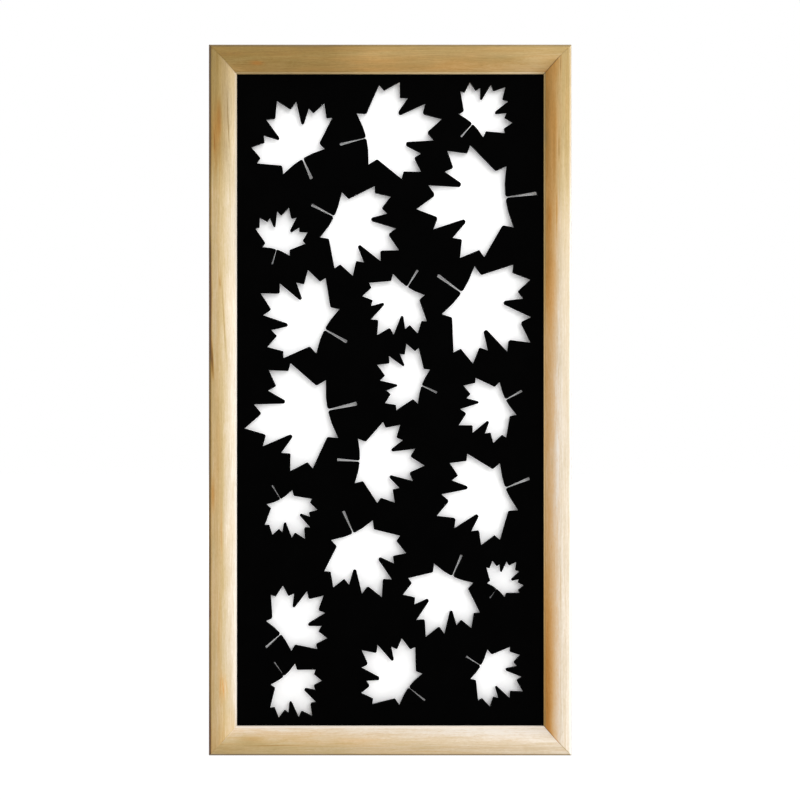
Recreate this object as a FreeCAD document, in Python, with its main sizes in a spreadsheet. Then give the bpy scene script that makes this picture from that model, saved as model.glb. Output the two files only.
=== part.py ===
# A decorative screen module: a black sheet pierced with leaf openings, held in a mitred wooden frame.
# Millimetres. +Z is up, the front faces -Y, and the origin lies under the middle of the bottom edge.
import FreeCAD
import Part
import Sketcher
import math
import os
from FreeCAD import Placement, Rotation, Vector

# Driving dimensions: name, millimetres, what it is
SIZES = [
    ("screen_width", 636.0, "outside width of the frame"),
    ("screen_height", 1246.0, "outside height of the frame"),
    ("band_width", 21.7, "outer bevelled band, from the outer edge to the ridge"),
    ("band_drop", 3.0, "how far the band's outer edge lies behind the ridge"),
    ("arris_radius", 3.5, "rounding of the outer front edge"),
    ("slope_width", 21.8, "crowned slope, from the ridge towards the sight edge"),
    ("slope_drop", 16.8, "how far the slope's foot lies behind the ridge"),
    ("slope_radius", 64.0, "crown of the slope"),
    ("sight_step", 1.2, "square step under the slope"),
    ("sight_flat", 3.0, "narrow flat along the sight edge"),
    ("lip_thickness", 4.0, "wood in front of the sheet at the sight edge"),
    ("rabbet_lap", 12.0, "how far the rabbet reaches behind the sight edge"),
    ("sheet_thickness", 6.0, "the pierced black sheet"),
    ("sheet_gap", 1.0, "room round the sheet in its rabbet"),
    ("stop_thickness", 10.0, "strips behind the sheet, flush with the back"),
    ("stop_gap", 0.2, "room between a strip and what it lies beside"),
    ("stop_chamfer", 1.5, "chamfer along a strip's open back edge"),
    ("dowel_radius", 4.0, "dowels across the mitres"),
    ("dowel_length", 36.0, "length of a dowel"),
    ("dowel_chamfer", 0.8, "chamfer at a dowel's ends"),
    ("dowel_inset", 18.5, "outer dowel of a corner, in from both outer edges"),
    ("dowel_step", 9.5, "from the outer to the inner dowel, measured square to an outer edge"),
    ("dowel_back_inset", 15.5, "dowels, in from the back of the frame"),
    ("dowel_fit", 0.1, "glue gap round a dowel"),
    ("dowel_end_gap", 1.0, "room past each end of a dowel"),
    ("brad_radius", 0.7, "shank of a brad"),
    ("brad_head_radius", 1.3, "head of a brad"),
    ("brad_head_height", 0.8, "head of a brad"),
    ("brad_length", 22.0, "a brad under its head"),
    ("brad_point", 2.0, "tapered point of a brad"),
    ("brad_fit", 0.05, "gap round a brad"),
    ("brad_end_inset", 70.0, "first and last brad, in from a strip's ends"),
    ("plate_width", 18.0, "keyhole plate"),
    ("plate_length", 64.0, "keyhole plate"),
    ("plate_thickness", 2.0, "keyhole plate, flush with the back"),
    ("plate_inset", 17.0, "middle of a plate, in from the frame's outer edge"),
    ("plate_drop", 150.0, "middle of a plate, down from the top of the frame"),
    ("plate_fit", 0.15, "room round a plate in its pocket"),
    ("keyhole_radius", 4.6, "round entry of the keyhole"),
    ("keyhole_neck", 4.8, "width of the keyhole's slot"),
    ("keyhole_rise", 13.0, "from the middle of the entry up to the middle of the slot's round end"),
    ("keyhole_drop", 6.0, "middle of the entry, below the middle of the plate"),
    ("well_radius", 6.2, "half width of the well behind the keyhole"),
    ("well_depth", 9.0, "well behind the plate"),
    ("screw_radius", 1.75, "shank of a plate's screw"),
    ("screw_head_radius", 3.6, "countersunk head of a plate's screw"),
    ("screw_head_height", 1.7, "countersunk head of a plate's screw"),
    ("screw_length", 18.0, "a screw with its head"),
    ("screw_point", 4.0, "tapered point of a screw"),
    ("screw_slot_width", 0.9, "cross in a screw's head"),
    ("screw_slot_reach", 2.2, "cross in a screw's head, from the middle to an arm's end"),
    ("screw_slot_depth", 1.0, "cross in a screw's head"),
    ("screw_spacing", 48.0, "between the two screws of a plate"),
    ("screw_fit", 0.1, "gap round a screw"),
    ("cut_overrun", 5.0, "how far cutting shapes run past the wood"),
]

STILE_BRADS = 6
RAIL_BRADS = 3

# Half of the leaf's outline, from its tip round to the end of its stem, in shares of the blade's
# length: across from the midrib, along from the foot of the blade, and the corner's rounding.
# The other half is its mirror image.
LEAF_HALF_SHARES = [
    (0.000, 1.000, 0.000),
    (0.123, 0.771, 0.028),
    (0.245, 0.837, 0.000),
    (0.165, 0.419, 0.025),
    (0.365, 0.643, 0.000),
    (0.395, 0.540, 0.015),
    (0.592, 0.585, 0.000),
    (0.534, 0.368, 0.011),
    (0.618, 0.323, 0.000),
    (0.300, 0.082, 0.026),
    (0.340, -0.040, 0.000),
    (0.153, 0.000, 0.131),
    (0.007, 0.012, 0.028),
    (0.022, -0.333, 0.011),
]

# The leaves from top to bottom: foot of the blade as shares of the sight opening's width and height,
# blade as a share of the leaf unit, turn in degrees from +X, then the blade's breadth and lean as shares.
LEAF_PLACE_SHARES = [
    (0.419, 0.903, 0.259, 14.0, 0.99, -0.01),
    (0.767, 0.924, 0.165, 48.5, 0.99, -0.03),
    (0.215, 0.870, 0.211, 114.0, 1.11, 0.14),
    (0.880, 0.812, 0.299, 187.5, 1.00, -0.01),
    (0.314, 0.783, 0.243, 332.5, 1.00, 0.03),
    (0.128, 0.731, 0.145, 73.5, 0.96, -0.01),
    (0.731, 0.666, 0.281, 324.0, 1.00, 0.03),
    (0.288, 0.608, 0.243, 150.5, 0.99, 0.03),
    (0.557, 0.675, 0.188, 238.0, 0.98, -0.03),
    (0.604, 0.522, 0.162, 155.0, 1.07, 0.10),
    (0.299, 0.485, 0.282, 192.5, 1.01, -0.01),
    (0.879, 0.501, 0.177, 208.5, 1.01, -0.02),
    (0.398, 0.406, 0.215, 356.0, 1.00, 0.00),
    (0.879, 0.365, 0.246, 202.0, 0.99, -0.02),
    (0.141, 0.348, 0.155, 301.5, 0.92, -0.04),
    (0.378, 0.296, 0.232, 294.0, 0.96, 0.02),
    (0.704, 0.230, 0.220, 246.5, 0.96, -0.04),
    (0.847, 0.209, 0.111, 54.0, 1.00, -0.03),
    (0.140, 0.139, 0.191, 42.0, 1.00, -0.03),
    (0.562, 0.057, 0.200, 141.5, 0.95, 0.03),
    (0.794, 0.092, 0.165, 328.0, 1.01, 0.03),
    (0.152, 0.076, 0.163, 305.0, 0.97, 0.09),
]

# The leaf unit is the sight opening's width, or this share of its height where that is less,
# so that the leaves stay clear of each other in an opening of other proportions.
LEAF_UNIT_SHARE = 0.471


class Length:
    """A size: its number of millimetres and the formula that gives it from the sheet."""

    def __init__(self, value, formula):
        self.value = value
        self.formula = formula

    def __add__(self, other):
        return Length(self.value + other.value, "(%s + %s)" % (self.formula, other.formula))

    def __sub__(self, other):
        return Length(self.value - other.value, "(%s - %s)" % (self.formula, other.formula))

    def __mul__(self, factor):
        return Length(self.value * factor, "(%s * %s)" % (self.formula, repr(float(factor))))

    def __truediv__(self, factor):
        return Length(self.value / factor, "(%s / %s)" % (self.formula, repr(float(factor))))

    def __neg__(self):
        return self * -1


class Sizes:
    """The driving dimensions by name, and the lengths that follow from them."""

    def __init__(self, rows):
        for name, value, note in rows:
            setattr(self, name, Length(value, "sizes." + name))
        self.zero = Length(0.0, "0")
        self.slope_foot = self.band_width + self.slope_width
        self.member_width = self.slope_foot + self.sight_flat
        self.sight_depth = self.slope_drop + self.sight_step
        self.sheet_depth = self.sight_depth + self.lip_thickness
        self.stop_depth = self.sheet_depth + self.sheet_thickness
        self.depth = self.stop_depth + self.stop_thickness
        self.rabbet_inset = self.member_width - self.rabbet_lap
        self.stop_inset = self.rabbet_inset + self.stop_gap


doc = FreeCAD.newDocument("decorative_screen")
sheet = doc.addObject("Spreadsheet::Sheet", "sizes")
for row, (alias, value, note) in enumerate(SIZES, start=1):
    sheet.set("A%d" % row, note)
    sheet.set("B%d" % row, str(value))
    sheet.setAlias("B%d" % row, alias)
doc.recompute()

s = Sizes([(alias, float(sheet.get(alias)), note) for alias, value, note in SIZES])


def bind(thing, **lengths):
    """Tie the named properties to the sheet."""
    for name, length in lengths.items():
        thing.setExpression(name, length.formula)
    return thing


def place(thing, x, y, z, rotation=Rotation()):
    """Give a finished thing its place, tied to the sheet."""
    thing.Placement = Placement(Vector(x.value, y.value, z.value), rotation)
    thing.setExpression("Placement.Base.x", x.formula)
    thing.setExpression("Placement.Base.y", y.formula)
    thing.setExpression("Placement.Base.z", z.formula)
    return thing


def about_depth(degrees):
    """A turn in the plane of the screen."""
    return Rotation(Vector(0, 1, 0), degrees)


def new_body(name):
    body = doc.addObject("PartDesign::Body", name)
    body.Label = name
    return body


def arc_centre(start, end, radius):
    """The centre of the anticlockwise arc of a radius from one point to another."""
    chord = end - start
    left = Vector(-chord.y, chord.x, 0).normalize()
    return (start + end) / 2 + left * math.sqrt(radius ** 2 - (chord.Length / 2) ** 2)


def outline(body, role, points):
    """A closed sketch on one of the body's own planes, through the points in anticlockwise order.

    Each point is a pair of lengths tied to the sheet. Where a point has two more lengths, they are
    the centre of the anticlockwise arc that starts there. One more length is that arc's radius.
    """
    sketch = body.newObject("Sketcher::SketchObject", body.Name + "_outline")
    plane = [feature for feature in body.Origin.OriginFeatures if feature.Role == role][0]
    sketch.AttachmentSupport = [(plane, "")]
    sketch.MapMode = "FlatFace"
    ends = [Vector(point[0].value, point[1].value, 0) for point in points]
    count = len(points)
    for index, point in enumerate(points):
        start = ends[index]
        end = ends[(index + 1) % count]
        if len(point) == 2:
            sketch.addGeometry(Part.LineSegment(start, end), False)
        else:
            if len(point) == 3:
                centre = arc_centre(start, end, point[2].value)
            else:
                centre = Vector(point[2].value, point[3].value, 0)
            first = math.atan2(start.y - centre.y, start.x - centre.x)
            last = math.atan2(end.y - centre.y, end.x - centre.x)
            if last < first:
                last += 2 * math.pi
            circle = Part.Circle(centre, Vector(0, 0, 1), start.distanceToPoint(centre))
            sketch.addGeometry(Part.ArcOfCircle(circle, first, last), False)

    def tie(kind, axis, geometry, vertex, length):
        if length.formula == s.zero.formula:
            sketch.addConstraint(Sketcher.Constraint("PointOnObject", geometry, vertex, axis))
            return
        row = sketch.addConstraint(Sketcher.Constraint(kind, -1, 1, geometry, vertex, length.value))
        sketch.setExpression("Constraints[%d]" % row, length.formula)

    for index, point in enumerate(points):
        sketch.addConstraint(Sketcher.Constraint("Coincident", index, 2, (index + 1) % count, 1))
        tie("DistanceX", -2, index, 1, point[0])
        tie("DistanceY", -1, index, 1, point[1])
        if len(point) == 3:
            row = sketch.addConstraint(Sketcher.Constraint("Radius", index, point[2].value))
            sketch.setExpression("Constraints[%d]" % row, point[2].formula)
        elif len(point) == 4:
            chord = ends[(index + 1) % count] - ends[index]
            if abs(chord.x) < abs(chord.y):
                tie("DistanceX", -2, index, 3, point[2])
            else:
                tie("DistanceY", -1, index, 3, point[3])
    return sketch


def padded(name, role, points, length, side="One side", reverse=False):
    """A body made by pushing an outline straight out by a length."""
    body = new_body(name)
    pad = body.newObject("PartDesign::Pad", name + "_pad")
    pad.Profile = outline(body, role, points)
    pad.SideType = side
    pad.Reversed = reverse
    bind(pad, Length=length)
    return body


def turned(name, points):
    """A body turned about its own Z axis from points of (radius, height)."""
    body = new_body(name)
    sketch = outline(body, "XZ_Plane", points)
    turning = body.newObject("PartDesign::Revolution", name + "_turning")
    turning.Profile = sketch
    turning.ReferenceAxis = (sketch, ["V_Axis"])
    turning.Angle = 360.0
    return body


def group(name, things):
    """Several solids kept apart under one name."""
    compound = doc.addObject("Part::Compound", name)
    compound.Label = name
    compound.Links = things
    return compound


def cut(name, blank, tools):
    """The blank with the tools' shapes taken out of it."""
    result = doc.addObject("Part::Cut", name)
    result.Label = name
    result.Base = blank
    result.Tool = group(name + "_cuts", tools)
    return result


def long_edge(body, x, y):
    """The name of the body's straight edge that runs along Z at the given x and y."""
    near = 0.001
    for number, edge in enumerate(body.Shape.Edges, start=1):
        points = [vertex.Point for vertex in edge.Vertexes]
        if all(abs(point.x - x.value) < near and abs(point.y - y.value) < near for point in points):
            return "Edge%d" % number
    raise RuntimeError("no edge at %g, %g on %s" % (x.value, y.value, body.Label))


class Side:
    """One side of the frame, in a frame of its own.

    inward runs from the outer edge to the middle of the screen, depth from the ridge to the back,
    and along from the middle of the side, upwards on the left side and turned from there.
    """

    def __init__(self, name, turn, length, edge_x, edge_z, stop_length, brads):
        self.name = name
        self.turn = turn
        self.length = length
        self.edge_x = edge_x
        self.edge_z = edge_z
        self.stop_length = stop_length
        self.brads = brads

    def place(self, thing, inward, depth, along, rotation=Rotation()):
        cosine = round(math.cos(math.radians(self.turn)))
        sine = round(math.sin(math.radians(self.turn)))
        x = self.edge_x + inward * cosine + along * sine
        z = self.edge_z - inward * sine + along * cosine
        return place(thing, x, depth - s.depth / 2, z, about_depth(self.turn) * rotation)


side_stop_length = s.screen_height - s.stop_inset * 2
cross_stop_length = s.screen_width - (s.member_width + s.stop_gap) * 2
half_width = s.screen_width / 2
half_height = s.screen_height / 2
SIDES = [
    Side("left", 0, s.screen_height, -half_width, half_height, side_stop_length, STILE_BRADS),
    Side("top", 90, s.screen_width, s.zero, s.screen_height, cross_stop_length, RAIL_BRADS),
    Side("right", 180, s.screen_height, half_width, half_height, side_stop_length, STILE_BRADS),
    Side("bottom", 270, s.screen_width, s.zero, s.zero, cross_stop_length, RAIL_BRADS),
]
SIDE = {side.name: side for side in SIDES}
MEMBER_NAMES = {"left": "left_stile", "top": "top_rail", "right": "right_stile", "bottom": "bottom_rail"}


# Frame members: one moulding, mitred at both ends
def member_blank(side):
    name = MEMBER_NAMES[side.name] + "_blank"
    section = [
        (s.band_width, s.zero, s.slope_radius),
        (s.slope_foot, s.slope_drop),
        (s.slope_foot, s.sight_depth),
        (s.member_width, s.sight_depth),
        (s.member_width, s.sheet_depth),
        (s.rabbet_inset, s.sheet_depth),
        (s.rabbet_inset, s.depth),
        (s.zero, s.depth),
        (s.zero, s.band_drop),
    ]
    body = padded(name, "XY_Plane", section, side.length, side="Symmetric")
    doc.recompute()
    edge = (body.Tip, [long_edge(body, s.zero, s.band_drop)])
    arris = body.newObject("PartDesign::Fillet", name + "_arris")
    arris.Base = edge
    bind(arris, Radius=s.arris_radius)
    doc.recompute()
    whole = body.Shape.Volume
    reach = s.member_width + s.cut_overrun
    for end, sign in (("upper", 1), ("lower", -1)):
        corner = side.length / 2 * sign
        points = [
            (-s.cut_overrun, corner + s.cut_overrun * sign),
            (reach, corner - reach * sign),
            (reach, corner + s.cut_overrun * sign),
        ]
        if sign < 0:
            points.reverse()
        mitre = body.newObject("PartDesign::Pocket", name + "_" + end + "_mitre")
        mitre.Profile = outline(body, "XZ_Plane", points)
        mitre.SideType = "Symmetric"
        bind(mitre, Length=s.depth * 3)
        doc.recompute()
    if not body.Shape.Volume < whole:
        raise RuntimeError("the mitres of %s cut nothing" % name)
    return side.place(body, s.zero, s.zero, s.zero)


# Dowels: two across each mitre, square to it, in bores with a glue gap
def dowel_points(radius, length, chamfer):
    half = length / 2
    return [
        (s.zero, -half),
        (radius - chamfer, -half),
        (radius, chamfer - half),
        (radius, half - chamfer),
        (radius - chamfer, half),
        (s.zero, half),
    ]


def corner_dowels(name, x_sign, z_sign):
    """The dowels of one corner as a group, and the bores that they sit in."""
    dowels = []
    bores = []
    rotation = about_depth(45 if x_sign * z_sign < 0 else 135)
    bore_length = s.dowel_length + s.dowel_end_gap * 2
    for number, inset in enumerate([s.dowel_inset, s.dowel_inset + s.dowel_step], start=1):
        x = (half_width - inset) * x_sign
        y = s.depth / 2 - s.dowel_back_inset
        z = half_height + (half_height - inset) * z_sign
        points = dowel_points(s.dowel_radius, s.dowel_length, s.dowel_chamfer)
        dowels.append(place(turned("%s_dowel_%d" % (name, number), points), x, y, z, rotation))
        points = dowel_points(s.dowel_radius + s.dowel_fit, bore_length, s.dowel_chamfer)
        bores.append(place(turned("%s_bore_%d" % (name, number), points), x, y, z, rotation))
    return group(name + "_dowels", dowels), bores


# The pierced sheet: leaf openings cut through a plain board
def rounded_wire(corners):
    """A closed wire through the corners, each a point and a rounding; no rounding leaves it sharp."""
    count = len(corners)
    starts = []
    arcs = []
    for index, (point, rounding) in enumerate(corners):
        if rounding == 0:
            starts.append((point, point))
            arcs.append(None)
            continue
        back = (corners[index - 1][0] - point).normalize()
        ahead = (corners[(index + 1) % count][0] - point).normalize()
        half_angle = back.getAngle(ahead) / 2
        reach = rounding / math.tan(half_angle)
        inner = (back + ahead).normalize()
        middle = point + inner * (rounding / math.sin(half_angle) - rounding)
        first = point + back * reach
        last = point + ahead * reach
        starts.append((first, last))
        arcs.append(Part.Arc(first, middle, last).toShape())
    edges = []
    for index in range(count):
        if arcs[index] is not None:
            edges.append(arcs[index])
        straight = Part.LineSegment(starts[index][1], starts[(index + 1) % count][0])
        edges.append(straight.toShape())
    return Part.Wire(edges)


def leaf_cutter(foot, blade, turn, breadth_share, lean_share, through):
    """A prism of the leaf's outline, with its foot at a point and its tip towards the turn."""
    up = Vector(math.cos(math.radians(turn)), 0, math.sin(math.radians(turn)))
    right = Vector(up.z, 0, -up.x)
    mirrored = [(-across, along, rounding) for across, along, rounding in LEAF_HALF_SHARES[:0:-1]]
    corners = []
    for across, along, rounding in LEAF_HALF_SHARES + mirrored:
        sideways = right * (across * breadth_share * blade)
        upwards = up * ((along + across * lean_share) * blade)
        corners.append((foot + sideways + upwards, rounding * blade))
    return Part.Face(rounded_wire(corners)).extrude(Vector(0, through, 0))


def leaf_cutters():
    sight_width = (s.screen_width - s.member_width * 2).value
    sight_height = (s.screen_height - s.member_width * 2).value
    unit = min(sight_width, sight_height * LEAF_UNIT_SHARE)
    front = (s.sheet_depth - s.depth / 2 - s.cut_overrun).value
    through = (s.sheet_thickness + s.cut_overrun * 2).value
    prisms = []
    for x_share, z_share, blade_share, turn, breadth_share, lean_share in LEAF_PLACE_SHARES:
        foot = Vector((x_share - 1 / 2) * sight_width, front, s.member_width.value + z_share * sight_height)
        prisms.append(leaf_cutter(foot, blade_share * unit, turn, breadth_share, lean_share, through))
    cutters = doc.addObject("Part::Feature", "leaf_cutters")
    cutters.Label = "leaf_cutters"
    cutters.Shape = Part.makeCompound(prisms)
    return cutters


def leaf_panel():
    edge = s.rabbet_inset + s.sheet_gap
    board = doc.addObject("Part::Box", "panel_blank")
    bind(board, Length=s.screen_width - edge * 2, Width=s.sheet_thickness, Height=s.screen_height - edge * 2)
    place(board, edge - half_width, s.sheet_depth - s.depth / 2, edge)
    return cut("leaf_panel", board, [leaf_cutters()])


# Stops: strips in the rabbet behind the sheet, the cross strips between the side strips
def stop_blank(side):
    name = side.name + "_stop_blank"
    section = [
        (s.stop_inset, s.stop_depth),
        (s.member_width, s.stop_depth),
        (s.member_width, s.depth),
        (s.stop_inset, s.depth),
    ]
    body = padded(name, "XY_Plane", section, side.stop_length, side="Symmetric")
    doc.recompute()
    edge = (body.Tip, [long_edge(body, s.member_width, s.depth)])
    chamfer = body.newObject("PartDesign::Chamfer", name + "_chamfer")
    chamfer.Base = edge
    bind(chamfer, Size=s.stop_chamfer)
    return side.place(body, s.zero, s.zero, s.zero)


# Brads: through each strip, sideways into the wall of the rabbet
def brad_points(fit, rise):
    head = s.brad_head_radius + fit
    shank = s.brad_radius + fit
    under_head = -s.brad_head_height
    tip = under_head - s.brad_length
    return [
        (s.zero, tip - fit),
        (shank, tip + s.brad_point),
        (shank, under_head),
        (head, under_head),
        (head, rise),
        (s.zero, rise),
    ]


def side_brads(side):
    """The brads of one strip as a group, and the holes that they sit in."""
    brads = []
    holes = []
    reach = side.stop_length / 2 - s.brad_end_inset
    depth = s.stop_depth + s.stop_thickness / 2
    inwards = about_depth(90)
    for number in range(side.brads):
        along = reach * (2 * number / (side.brads - 1) - 1)
        brad = turned("%s_brad_%d" % (side.name, number + 1), brad_points(s.zero, s.zero))
        brads.append(side.place(brad, s.member_width, depth, along, inwards))
        hole = turned("%s_brad_hole_%d" % (side.name, number + 1), brad_points(s.brad_fit, s.cut_overrun))
        holes.append(side.place(hole, s.member_width, depth, along, inwards))
    return group(side.name + "_stop_brads", brads), holes


# Hangers: a keyhole plate let into the back of each stile, held by two countersunk screws
def stadium(width, length, rise):
    """A slot's outline about the vertical axis, with its middle raised by a length."""
    half = width / 2
    low = rise - (length - width) / 2
    high = rise + (length - width) / 2
    return [
        (-half, low, s.zero, low),
        (half, low),
        (half, high, s.zero, high),
        (-half, high),
    ]


def screw_points(fit, rise):
    """A countersunk screw's half section; its hole has a fit and rises past the plate."""
    head = s.screw_head_radius + fit
    shank = s.screw_radius + fit
    points = [
        (s.zero, -s.screw_length - fit),
        (shank, s.screw_point - s.screw_length),
        (shank, -s.screw_head_height),
        (head, s.zero),
    ]
    if rise.formula != s.zero.formula:
        points.append((head, rise))
    return points + [(s.zero, rise)]


def cross_points():
    """The outline of the cross in a screw's head, arm after arm."""
    half = s.screw_slot_width / 2
    reach = s.screw_slot_reach
    points = [(reach, -half), (reach, half), (half, half)]
    quarters = [points]
    for turn in range(3):
        points = [(-y, x) for x, y in points]
        quarters.append(points)
    return [point for quarter in quarters for point in quarter]


def plate_screw(name):
    body = turned(name, screw_points(s.zero, s.zero))
    doc.recompute()
    whole = body.Shape.Volume
    cross = body.newObject("PartDesign::Pocket", name + "_cross")
    cross.Profile = outline(body, "XY_Plane", cross_points())
    bind(cross, Length=s.screw_slot_depth)
    doc.recompute()
    if not body.Shape.Volume < whole:
        raise RuntimeError("the cross of %s cuts nothing" % name)
    return body


def hanger(side):
    """A plate, its screws as a group, and the shapes that make room for them in the stile."""
    name = side.name + "_hanger"
    x = side.edge_x + s.plate_inset * round(math.cos(math.radians(side.turn)))
    z = s.screen_height - s.plate_drop
    back = s.depth / 2
    backwards = Rotation(Vector(1, 0, 0), -90)
    screws = []
    holes = []
    for number, sign in ((1, 1), (2, -1)):
        height = z + s.screw_spacing / 2 * sign
        screw = plate_screw("%s_screw_%d" % (name, number))
        screws.append(place(screw, x, back, height, backwards))
        hole = turned("%s_hole_%d" % (name, number), screw_points(s.screw_fit, s.cut_overrun))
        holes.append(place(hole, x, back, height, backwards))

    slot_length = s.keyhole_rise + s.keyhole_neck
    slot_middle = s.keyhole_rise / 2 - s.keyhole_drop
    through = s.plate_thickness + s.cut_overrun * 2
    outer = stadium(s.plate_width, s.plate_length, s.zero)
    blank = padded(name + "_blank", "XZ_Plane", outer, s.plate_thickness)
    place(blank, x, back, z)
    slot = padded(name + "_slot", "XZ_Plane", stadium(s.keyhole_neck, slot_length, slot_middle), through)
    place(slot, x, back + s.cut_overrun, z)
    entry = doc.addObject("Part::Cylinder", name + "_entry")
    bind(entry, Radius=s.keyhole_radius, Height=through)
    place(entry, x, back + s.cut_overrun, z - s.keyhole_drop, Rotation(Vector(1, 0, 0), 90))
    plate = cut(name, blank, [slot, entry] + holes)

    room = s.plate_fit * 2
    pocket_outline = stadium(s.plate_width + room, s.plate_length + room, s.zero)
    pocket = padded(name + "_pocket", "XZ_Plane", pocket_outline, s.plate_thickness + s.cut_overrun)
    place(pocket, x, back + s.cut_overrun, z)
    well_width = s.well_radius * 2
    well_outline = stadium(well_width, s.keyhole_rise + well_width, slot_middle)
    well_through = s.plate_thickness + s.well_depth + s.cut_overrun
    well = padded(name + "_well", "XZ_Plane", well_outline, well_through)
    place(well, x, back + s.cut_overrun, z)
    return plate, group(name + "_screws", screws), holes + [pocket, well]


# Assembly: each member, strip and plate with the holes of what passes through it
nodes = [leaf_panel()]
bores = {}
for name, x_sign, z_sign in (
    ("top_left", -1, 1),
    ("top_right", 1, 1),
    ("bottom_left", -1, -1),
    ("bottom_right", 1, -1),
):
    dowels, bores[name] = corner_dowels(name, x_sign, z_sign)
    nodes.append(dowels)

for side in SIDES:
    brads, cuts = side_brads(side)
    nodes.append(brads)
    nodes.append(cut(side.name + "_stop", stop_blank(side), cuts))
    member_cuts = list(cuts)
    for corner, corner_bores in bores.items():
        if side.name in corner.split("_"):
            member_cuts += corner_bores
    if side.name in ("left", "right"):
        plate, screws, hanger_cuts = hanger(side)
        nodes += [plate, screws]
        member_cuts += hanger_cuts
    nodes.append(cut(MEMBER_NAMES[side.name], member_blank(side), member_cuts))

doc.recompute()

for thing in doc.Objects:
    if "Invalid" in thing.State or "Error" in thing.State:
        raise RuntimeError("%s could not be built" % thing.Label)
for node in nodes:
    if node.Shape.isNull() or not node.Shape.isValid() or not node.Shape.Solids:
        raise RuntimeError("%s has no sound solid" % node.Label)

os.makedirs("parts", exist_ok=True)
for node in nodes:
    node.Shape.exportStep("parts/%s.step" % node.Label)
    box = node.Shape.BoundBox
    print("%s: %d solids, %.1f x %.1f x %.1f mm, %.0f mm3" % (
        node.Label, len(node.Shape.Solids), box.XLength, box.YLength, box.ZLength, node.Shape.Volume))
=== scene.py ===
import math

import bpy
import numpy as np
from bpy.props import FloatProperty, FloatVectorProperty, PointerProperty
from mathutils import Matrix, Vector


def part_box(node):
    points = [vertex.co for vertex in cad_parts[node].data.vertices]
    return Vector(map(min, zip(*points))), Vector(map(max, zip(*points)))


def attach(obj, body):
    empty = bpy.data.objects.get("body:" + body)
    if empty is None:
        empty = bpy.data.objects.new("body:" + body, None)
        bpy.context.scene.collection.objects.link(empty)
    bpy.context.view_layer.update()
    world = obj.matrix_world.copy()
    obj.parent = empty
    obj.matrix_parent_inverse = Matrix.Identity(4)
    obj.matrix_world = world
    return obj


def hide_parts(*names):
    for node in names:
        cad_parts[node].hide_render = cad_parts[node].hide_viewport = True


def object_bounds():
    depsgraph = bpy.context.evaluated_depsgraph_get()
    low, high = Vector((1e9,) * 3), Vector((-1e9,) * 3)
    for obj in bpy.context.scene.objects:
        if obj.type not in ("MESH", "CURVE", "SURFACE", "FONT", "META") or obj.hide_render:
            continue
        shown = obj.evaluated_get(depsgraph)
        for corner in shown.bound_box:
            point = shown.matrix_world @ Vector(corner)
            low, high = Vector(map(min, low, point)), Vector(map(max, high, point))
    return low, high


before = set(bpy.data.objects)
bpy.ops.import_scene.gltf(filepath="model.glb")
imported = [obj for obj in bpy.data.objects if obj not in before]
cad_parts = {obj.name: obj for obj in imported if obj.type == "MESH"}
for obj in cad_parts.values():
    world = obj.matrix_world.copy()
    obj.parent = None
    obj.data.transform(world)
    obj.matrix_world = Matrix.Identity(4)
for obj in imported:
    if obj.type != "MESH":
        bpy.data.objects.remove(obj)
cad_box = [list(corner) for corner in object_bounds()]

bl_info = {
    "name": "Leaf screen",
    "version": (1, 0, 0),
    "blender": (4, 5, 0),
    "location": "View3D > Sidebar > Leaf screen",
    "description": "Finishes a framed leaf screen: mitred members, pierced sheet, fixings and studio",
    "category": "Add Mesh",
}

BODY = "root"
MM = 0.001
LOW, HIGH = (Vector(corner) for corner in cad_box)
MIDDLE = (LOW + HIGH) / 2
DEPTH = HIGH.y - LOW.y
FRONT = Vector((0, -1, 0))

# Points on each round of the moulding's section
CORNER_STEPS = 6
RIDGE_STEPS = 10
SLOPE_STEPS = 16

# Degrees between two points on a pocket's round end, and between faces that meet in a sharp edge
ROUND_TURN = 7.5
SHARP_TURN = 32


# Sizes, colours and lights that a user would change

def size(name, description, millimetres):
    """A length property whose default is given in millimetres."""
    return FloatProperty(name=name, description=description, default=millimetres * MM, unit="LENGTH",
                         precision=5)


def amount(name, description, default):
    """A plain number property."""
    return FloatProperty(name=name, description=description, default=default)


def linear(value):
    """A channel of 0 to 255 as light: its share, less 0.055, over 1.055, to the power 2.4."""
    return ((value / 255 + 0.055) / 1.055) ** 2.4


def reflectance(name, description, *shares):
    """A colour property whose default is given as the shares of red, green and blue light sent back."""
    return FloatVectorProperty(name=name, description=description, size=3, subtype="COLOR", min=0, max=1,
                               default=shares)


def colour(name, description, *channels):
    """A colour property whose default is given as channels of 0 to 255."""
    return reflectance(name, description, *[linear(channel) for channel in channels])


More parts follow.
